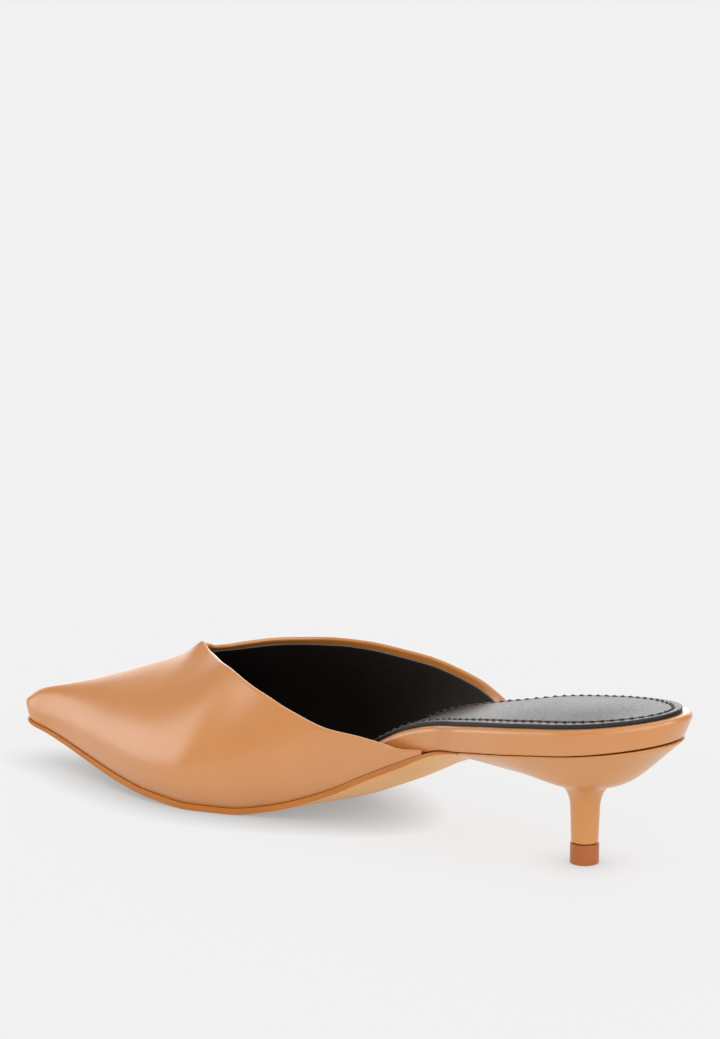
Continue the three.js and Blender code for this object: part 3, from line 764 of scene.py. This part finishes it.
def spread(nodes, links, value, low, high):
    """The middle of a noise's range, spread from low to high"""
    made = nodes.new("ShaderNodeMapRange")
    made.inputs["From Min"].default_value = 0.3
    made.inputs["From Max"].default_value = 0.7
    made.inputs["To Min"].default_value = low
    made.inputs["To Max"].default_value = high
    links.new(value, made.inputs["Value"])
    return made.outputs["Result"]


def blend(nodes, links, value, first, second):
    made = nodes.new("ShaderNodeMix")
    made.data_type = "RGBA"
    made.inputs[MIX_FIRST].default_value = (*first, 1)
    made.inputs[MIX_SECOND].default_value = (*second, 1)
    links.new(value, made.inputs[0])
    return made.outputs[MIX_RESULT]


def bump(nodes, links, value, distance, strength, before=None):
    made = nodes.new("ShaderNodeBump")
    made.inputs["Strength"].default_value = strength
    made.inputs["Distance"].default_value = distance
    links.new(value, made.inputs["Height"])
    if before:
        links.new(before, made.inputs["Normal"])
    return made.outputs["Normal"]


def pores(nodes, links, scale):
    """Fine leather grain: small cells with creases between them"""
    coordinates = nodes.new("ShaderNodeTexCoord")
    made = nodes.new("ShaderNodeTexVoronoi")
    made.feature = "DISTANCE_TO_EDGE"
    made.inputs["Scale"].default_value = scale
    links.new(coordinates.outputs["Object"], made.inputs["Vector"])
    ramp = nodes.new("ShaderNodeMapRange")
    ramp.interpolation_type = "SMOOTHSTEP"
    ramp.inputs["From Max"].default_value = PORE_CREASE
    links.new(made.outputs["Distance"], ramp.inputs["Value"])
    return ramp.outputs["Result"]


def leather(name, colour, mottle, rough, grain=0.12, coat=0.0, coat_rough=0.2, sheen=0.0):
    material, nodes, links, shader = tree(name)
    cloud = noise(nodes, links, CLOUD_SCALE, 4)
    fine = noise(nodes, links, FINE_SCALE, 2)
    part = spread(nodes, links, cloud, 0, 1)
    links.new(blend(nodes, links, part, colour, mottle), shader.inputs["Base Color"])
    links.new(spread(nodes, links, fine, *rough), shader.inputs["Roughness"])
    cells = bump(nodes, links, pores(nodes, links, PORE_SCALE), PORE_DEPTH, grain)
    normal = bump(nodes, links, cloud, CLOUD_DEPTH, CLOUD_STRENGTH, cells)
    links.new(normal, shader.inputs["Normal"])
    shader.inputs["Coat Weight"].default_value = coat
    shader.inputs["Coat IOR"].default_value = COAT_IOR
    shader.inputs["Coat Roughness"].default_value = coat_rough
    shader.inputs["Sheen Weight"].default_value = sheen
    return material


def lacquer(name, colour, second, rough, coat):
    material, nodes, links, shader = tree(name)
    cloud = noise(nodes, links, PAINT_CLOUD_SCALE, 2)
    fine = noise(nodes, links, PAINT_FINE_SCALE, 2)
    part = spread(nodes, links, cloud, 0, 1)
    links.new(blend(nodes, links, part, colour, second), shader.inputs["Base Color"])
    links.new(spread(nodes, links, fine, *rough), shader.inputs["Roughness"])
    normal = bump(nodes, links, fine, PAINT_DEPTH, PAINT_STRENGTH)
    links.new(normal, shader.inputs["Normal"])
    shader.inputs["Coat Weight"].default_value = coat
    shader.inputs["Coat Roughness"].default_value = PAINT_COAT_ROUGHNESS
    return material


# Colours: each with a deeper one that the slow noise blends in
TAN = (0.632, 0.243, 0.053)
TAN_DEEP = (0.602, 0.22, 0.043)
OCHRE = (0.55, 0.18, 0.02)
OCHRE_DEEP = (0.48, 0.15, 0.015)
HULL = (0.76, 0.39, 0.14)
HULL_DEEP = (0.72, 0.36, 0.12)
HEEL_TAN = (0.64, 0.265, 0.065)
HEEL_DEEP = (0.62, 0.25, 0.06)
TIP = (0.44, 0.115, 0.015)
TIP_DEEP = (0.39, 0.095, 0.012)
SOCK_BROWN = (0.022, 0.014, 0.015)
SOCK_DEEP = (0.017, 0.010, 0.011)
SOCK_RIM = (0.012, 0.008, 0.008)
LINING = (0.009, 0.0025, 0.001)
LINING_DEEP = (0.006, 0.002, 0.001)
# Cut edge of the lining: grey, partly the raw edge's own colour and partly a painted highlight along
# that edge
CUT_EDGE_AND_HIGHLIGHT = (0.16, 0.13, 0.125)
CUT_EDGE_AND_HIGHLIGHT_DEEP = (0.12, 0.095, 0.09)
THREAD_BROWN = (0.085, 0.032, 0.025)
THREAD_DEEP = (0.05, 0.018, 0.014)

tan = leather("tan_leather", TAN, TAN_DEEP, (0.42, 0.5), coat=1, coat_rough=0.26)
fold_tan = leather("folded_edge", TAN, TAN_DEEP, (0.3, 0.36), grain=0.04, coat=1, coat_rough=0.15)
footbed_tan = leather("footbed_leather", TAN, TAN_DEEP, (0.4, 0.48), coat=0.9, coat_rough=0.26)
lining_brown = leather("lining_leather", LINING, LINING_DEEP, (0.6, 0.75), grain=0.3)
# the lining's grey cut edge, partly a painted highlight
edge_and_highlight_grey = leather("lining_cut_edge_and_highlight", CUT_EDGE_AND_HIGHLIGHT, CUT_EDGE_AND_HIGHLIGHT_DEEP, (0.6, 0.8), grain=0.3)
sock_brown = leather("sock_leather", SOCK_BROWN, SOCK_DEEP, (0.34, 0.44), grain=0.35)
sock_rim = leather("sock_rim", SOCK_RIM, SOCK_RIM, (0.4, 0.55), grain=0.2)
edge_ochre = lacquer("sole_edge_paint", OCHRE, OCHRE_DEEP, (0.4, 0.5), 0.1)
hull_ochre = leather("sole_leather", HULL, HULL_DEEP, (0.42, 0.52), grain=0.06, coat=0.1)
heel_paint = lacquer("heel_paint", HEEL_TAN, HEEL_DEEP, (0.28, 0.34), 0.4)
tip_paint = lacquer("tip_material", TIP, TIP_DEEP, (0.34, 0.42), 0.2)
thread = leather("stitch_thread", THREAD_BROWN, THREAD_DEEP, (0.45, 0.6), grain=0.0, sheen=0.2)

build_upper(tan, fold_tan)
build_lining(lining_brown, edge_and_highlight_grey)
build_footbed(footbed_tan, lining_brown)
build_sock(sock_brown, sock_rim)
build_stitches(thread)
build_outsole(edge_ochre, hull_ochre)
build_heel(heel_paint)
build_tip(tip_paint)

# Camera: a long lens from behind and from the inner side, a little above
AZIMUTH = math.radians(35.5)
ELEVATION = math.radians(16.1)
CAMERA_ROLL = math.radians(0.58)
DISTANCE = 3.572
TARGET = Vector((0.09, 0, 0.02))
TARGET_PIXEL = (363.7, 757.9)
IMAGE = (720, 1039)
PIXELS_PER_METRE = 2986
SENSOR = 36  # in millimetres
CLIP_END = 60  # in metres
focal = PIXELS_PER_METRE * DISTANCE  # in pixels

ca, sa = math.cos(AZIMUTH), math.sin(AZIMUTH)
ce, se = math.cos(ELEVATION), math.sin(ELEVATION)
back_axis = Vector((-sa * ce, ca * ce, se))
right_flat = Vector((-ca, -sa, 0))
up_flat = Vector((sa * se, -ca * se, ce))
right_axis = right_flat * math.cos(CAMERA_ROLL) + up_flat * math.sin(CAMERA_ROLL)
up_axis = up_flat * math.cos(CAMERA_ROLL) - right_flat * math.sin(CAMERA_ROLL)
position = TARGET + back_axis * DISTANCE
across = TARGET_PIXEL[0] - IMAGE[0] / 2
down = TARGET_PIXEL[1] - IMAGE[1] / 2
rotation = Matrix((right_axis, up_axis, back_axis)).transposed()
rotation = rotation @ Matrix.Rotation(math.atan2(down, focal), 3, "X")
rotation = rotation @ Matrix.Rotation(math.atan2(across, focal), 3, "Y")
lens = bpy.data.cameras.new("camera")
lens.sensor_width = SENSOR
lens.lens = focal * SENSOR / max(IMAGE)
lens.clip_end = CLIP_END
camera = bpy.data.objects.new("camera", lens)
camera.matrix_world = Matrix.Translation(position) @ rotation.to_4x4()
bpy.context.scene.collection.objects.link(camera)
bpy.context.scene.camera = camera

# Pale floor. Most of its light is its own glow, so its real shadow stays soft and neutral, with a
# darker rim only where the shoe comes close to it: a painted shadow, the glow dimmed by ambient
# occlusion.
FLOOR_REACH = 14
FLOOR_CORNERS = [(-1, -1), (1, -1), (1, 1), (-1, 1)]
FLOOR_DIFFUSE = 0.12
FLOOR_GLOW = 0.76
SHADOW_RIM_REACH = 0.018  # reach of the painted shadow, in metres
SHADOW_RIM_DARKEST = 0.42  # share of the glow left right under the shoe, where the painted shadow is darkest
floor_mesh = bpy.data.meshes.new("floor")
corners = [(FLOOR_REACH * x, FLOOR_REACH * y, 0) for x, y in FLOOR_CORNERS]
floor_mesh.from_pydata(corners, [], [(0, 1, 2, 3)])
floor = bpy.data.objects.new("floor", floor_mesh)
bpy.context.scene.collection.objects.link(floor)
floor_material, floor_nodes, floor_links, floor_shader = tree("floor")
floor_shader.inputs["Base Color"].default_value = (FLOOR_DIFFUSE, FLOOR_DIFFUSE, FLOOR_DIFFUSE, 1)
floor_shader.inputs["Roughness"].default_value = 1
floor_shader.inputs["Specular IOR Level"].default_value = 0
floor_shader.inputs["Emission Color"].default_value = (1, 1, 1, 1)
# Painted shadow: ambient occlusion dims the floor's glow where the shoe comes close
painted_shadow = floor_nodes.new("ShaderNodeAmbientOcclusion")
painted_shadow.inputs["Distance"].default_value = SHADOW_RIM_REACH
glow = floor_nodes.new("ShaderNodeMapRange")
glow.inputs["To Min"].default_value = FLOOR_GLOW * SHADOW_RIM_DARKEST
glow.inputs["To Max"].default_value = FLOOR_GLOW
floor_links.new(painted_shadow.outputs["AO"], glow.inputs["Value"])
floor_links.new(glow.outputs["Result"], floor_shader.inputs["Emission Strength"])
floor_mesh.materials.append(floor_material)

# Soft studio light: an even white surround with brighter panels, and one soft key light
SURROUND = 0.36
PANELS = [  # direction, half width as a cosine, strength
    ((0.6, -0.76, 0.22), 0.78, 1.75),
    ((0.56, -0.78, 0.28), 0.96, 1.4),
    ((0.84, 0.52, 0.18), 0.9, 2.6),
    ((-0.9, 0.1, 0.45), 0.8, 0.7),
    ((-0.55, 0.75, 0.35), 0.8, 1.7),
    ((0, 0, 1), 0.6, 0.7),
]
PANEL_EDGE = 0.45  # share of a panel's width that is at full strength
KEY_DIRECTION = (-0.75, -0.12, 0.65)
KEY_STRENGTH = 0.45
KEY_SOFTNESS = 22  # in degrees
world = bpy.data.worlds.new("studio")
bpy.context.scene.world = world
world.use_nodes = True
nodes, links = world.node_tree.nodes, world.node_tree.links
nodes.clear()
output = nodes.new("ShaderNodeOutputWorld")
background = nodes.new("ShaderNodeBackground")
links.new(background.outputs[0], output.inputs[0])
coordinates = nodes.new("ShaderNodeTexCoord")
total = None
for direction, size, strength in PANELS:
    dot = nodes.new("ShaderNodeVectorMath")
    dot.operation = "DOT_PRODUCT"
    dot.inputs[1].default_value = Vector(direction).normalized()
    links.new(coordinates.outputs["Generated"], dot.inputs[0])
    panel = nodes.new("ShaderNodeMapRange")
    panel.interpolation_type = "SMOOTHSTEP"
    panel.inputs["From Min"].default_value = size
    panel.inputs["From Max"].default_value = 1 - (1 - size) * PANEL_EDGE
    panel.inputs["To Max"].default_value = strength
    links.new(dot.outputs["Value"], panel.inputs["Value"])
    if total is None:
        total = panel.outputs["Result"]
    else:
        add = nodes.new("ShaderNodeMath")
        links.new(total, add.inputs[0])
        links.new(panel.outputs["Result"], add.inputs[1])
        total = add.outputs[0]
add = nodes.new("ShaderNodeMath")
add.inputs[1].default_value = SURROUND
links.new(total, add.inputs[0])
links.new(add.outputs[0], background.inputs["Strength"])

key = bpy.data.lights.new("key", "SUN")
key.energy = KEY_STRENGTH
key.angle = math.radians(KEY_SOFTNESS)
key_light = bpy.data.objects.new("key", key)
key_light.rotation_mode = "QUATERNION"
key_light.rotation_quaternion = Vector(KEY_DIRECTION).to_track_quat("Z", "Y")
bpy.context.scene.collection.objects.link(key_light)

bpy.context.scene.view_settings.view_transform = "Standard"
